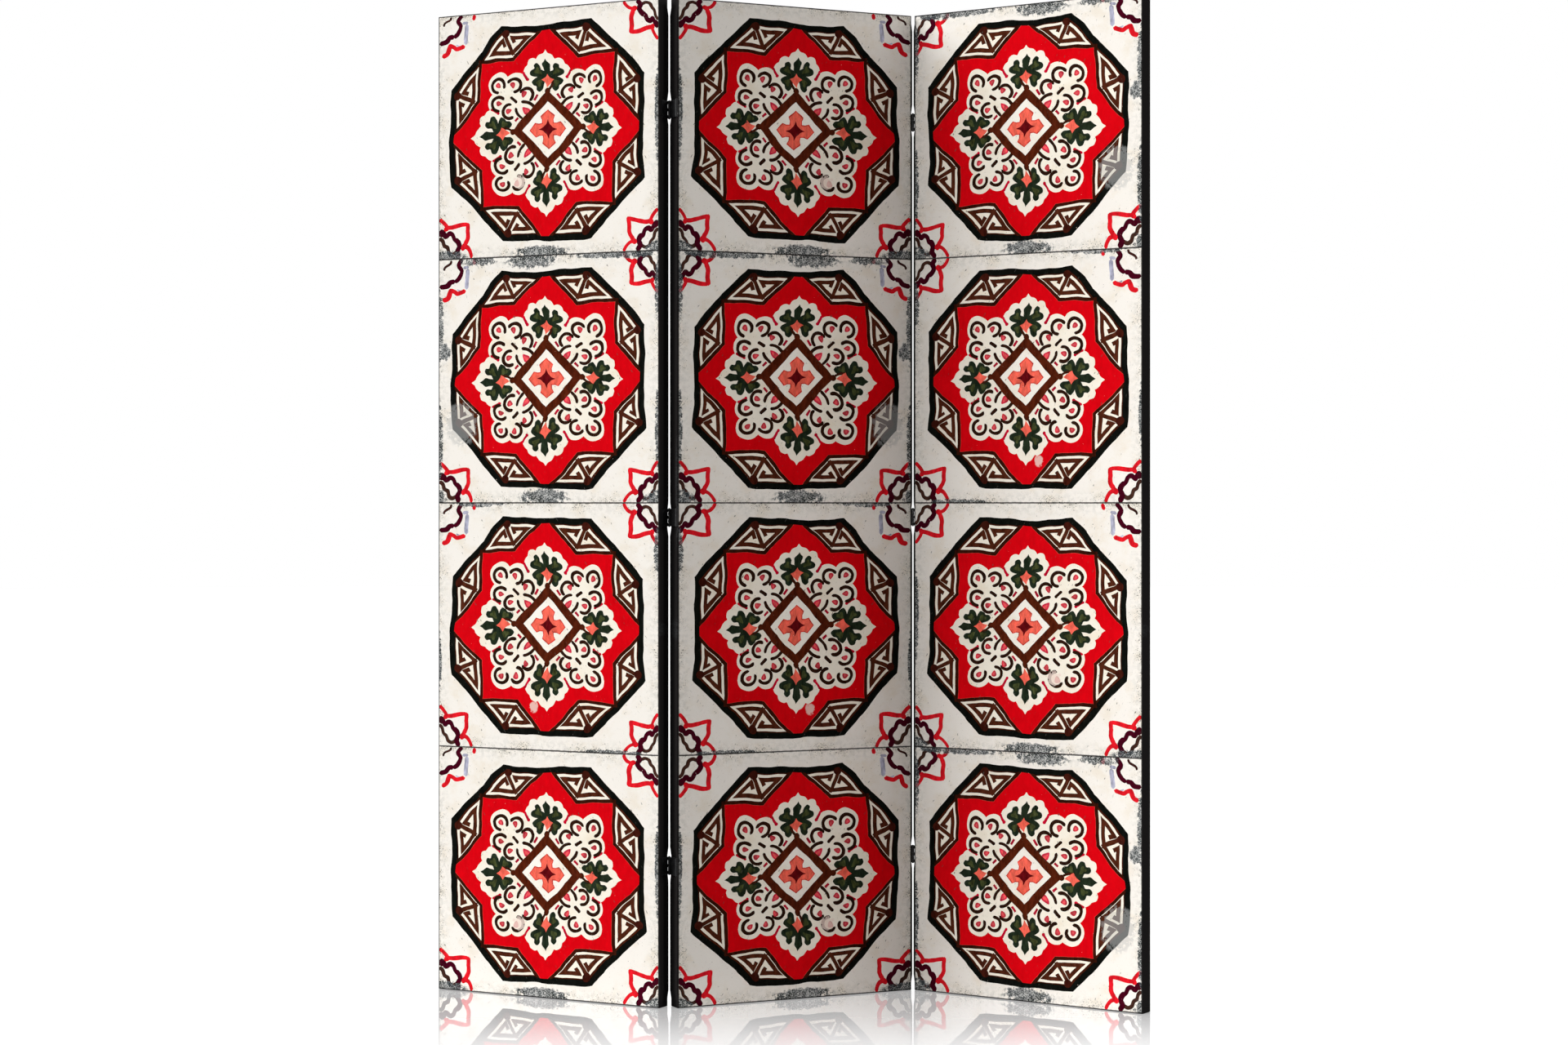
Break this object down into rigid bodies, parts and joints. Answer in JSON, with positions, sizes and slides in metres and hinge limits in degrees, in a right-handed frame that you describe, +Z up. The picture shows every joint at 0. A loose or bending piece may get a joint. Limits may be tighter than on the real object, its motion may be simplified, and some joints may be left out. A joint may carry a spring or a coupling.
{
  "type": "folding screen",
  "caption": "Free-standing folding room divider: printed canvas wrapped over wooden frames, joined by black double-acting hinges so that it folds flat both ways.",
  "frame": {"origin": "middle of the standing screen's footprint box, on the floor", "axes": "+X across the screen to the viewer's right when the print is seen, +Y away from the viewer (behind the print), +Z up"},
  "size_m": [1.2292, 0.2912, 1.72],
  "materials": {
    "canvas": "matt printed canvas, black at the edges",
    "back_cloth": "plain off-white cloth",
    "pine": "bare planed pine",
    "dowels": "bare beech",
    "hinge": "satin black paint",
    "hinge_pins": "satin black paint",
    "hinge_screws": "black passivated steel",
    "nail_steel": "plain steel",
    "staple_wire": "galvanised wire"
  },
  "bodies": {
    "middle_panel": {"middle_panel_left_stile": "pine", "middle_panel_right_stile": "pine", "middle_panel_top_rail": "pine", "middle_panel_bottom_rail": "pine", "middle_panel_upper_crossbar": "pine", "middle_panel_lower_crossbar": "pine", "middle_panel_dowels": "dowels", "middle_panel_corner_nails": "nail_steel", "middle_panel_canvas": "canvas", "middle_panel_back_cloth": "back_cloth", "middle_panel_staples": "staple_wire", "middle_panel_hinge_screws": "hinge_screws", "left_upper_hinge_inner_leaf": "hinge", "left_centre_hinge_inner_leaf": "hinge", "left_lower_hinge_inner_leaf": "hinge", "right_upper_hinge_inner_leaf": "hinge", "right_centre_hinge_inner_leaf": "hinge", "right_lower_hinge_inner_leaf": "hinge"},
    "left_panel": {"left_panel_left_stile": "pine", "left_panel_right_stile": "pine", "left_panel_top_rail": "pine", "left_panel_bottom_rail": "pine", "left_panel_upper_crossbar": "pine", "left_panel_lower_crossbar": "pine", "left_panel_dowels": "dowels", "left_panel_corner_nails": "nail_steel", "left_panel_canvas": "canvas", "left_panel_back_cloth": "back_cloth", "left_panel_staples": "staple_wire", "left_panel_hinge_screws": "hinge_screws", "left_upper_hinge_outer_leaf": "hinge", "left_centre_hinge_outer_leaf": "hinge", "left_lower_hinge_outer_leaf": "hinge"},
    "right_panel": {"right_panel_left_stile": "pine", "right_panel_right_stile": "pine", "right_panel_top_rail": "pine", "right_panel_bottom_rail": "pine", "right_panel_upper_crossbar": "pine", "right_panel_lower_crossbar": "pine", "right_panel_dowels": "dowels", "right_panel_corner_nails": "nail_steel", "right_panel_canvas": "canvas", "right_panel_back_cloth": "back_cloth", "right_panel_staples": "staple_wire", "right_panel_hinge_screws": "hinge_screws", "right_upper_hinge_outer_leaf": "hinge", "right_centre_hinge_outer_leaf": "hinge", "right_lower_hinge_outer_leaf": "hinge"},
    "left_links": {"left_upper_hinge_link": "hinge", "left_centre_hinge_link": "hinge", "left_lower_hinge_link": "hinge", "left_front_pins": "hinge_pins", "left_back_pins": "hinge_pins"},
    "right_links": {"right_upper_hinge_link": "hinge", "right_centre_hinge_link": "hinge", "right_lower_hinge_link": "hinge", "right_front_pins": "hinge_pins", "right_back_pins": "hinge_pins"}
  },
  "joints": [
    {"name": "left_front_pivot", "type": "hinge", "parent": "middle_panel", "child": "left_links", "pos_m": [-0.18615, -0.09062, 0.835], "axis": [0, 0, 1], "range_deg": [0, 90]},
    {"name": "left_back_pivot", "type": "hinge", "parent": "left_links", "child": "left_panel", "pos_m": [-0.19977, -0.06244, 0.835], "axis": [0, 0, -1], "range_deg": [-53.4, 126.6]},
    {"name": "right_back_pivot", "type": "hinge", "parent": "middle_panel", "child": "right_links", "pos_m": [0.21024, 0.13577, 0.835], "axis": [0, 0, 1], "range_deg": [0, 90]},
    {"name": "right_front_pivot", "type": "hinge", "parent": "right_links", "child": "right_panel", "pos_m": [0.22386, 0.10759, 0.835], "axis": [0, 0, -1], "range_deg": [-60, 120]}
  ]
}
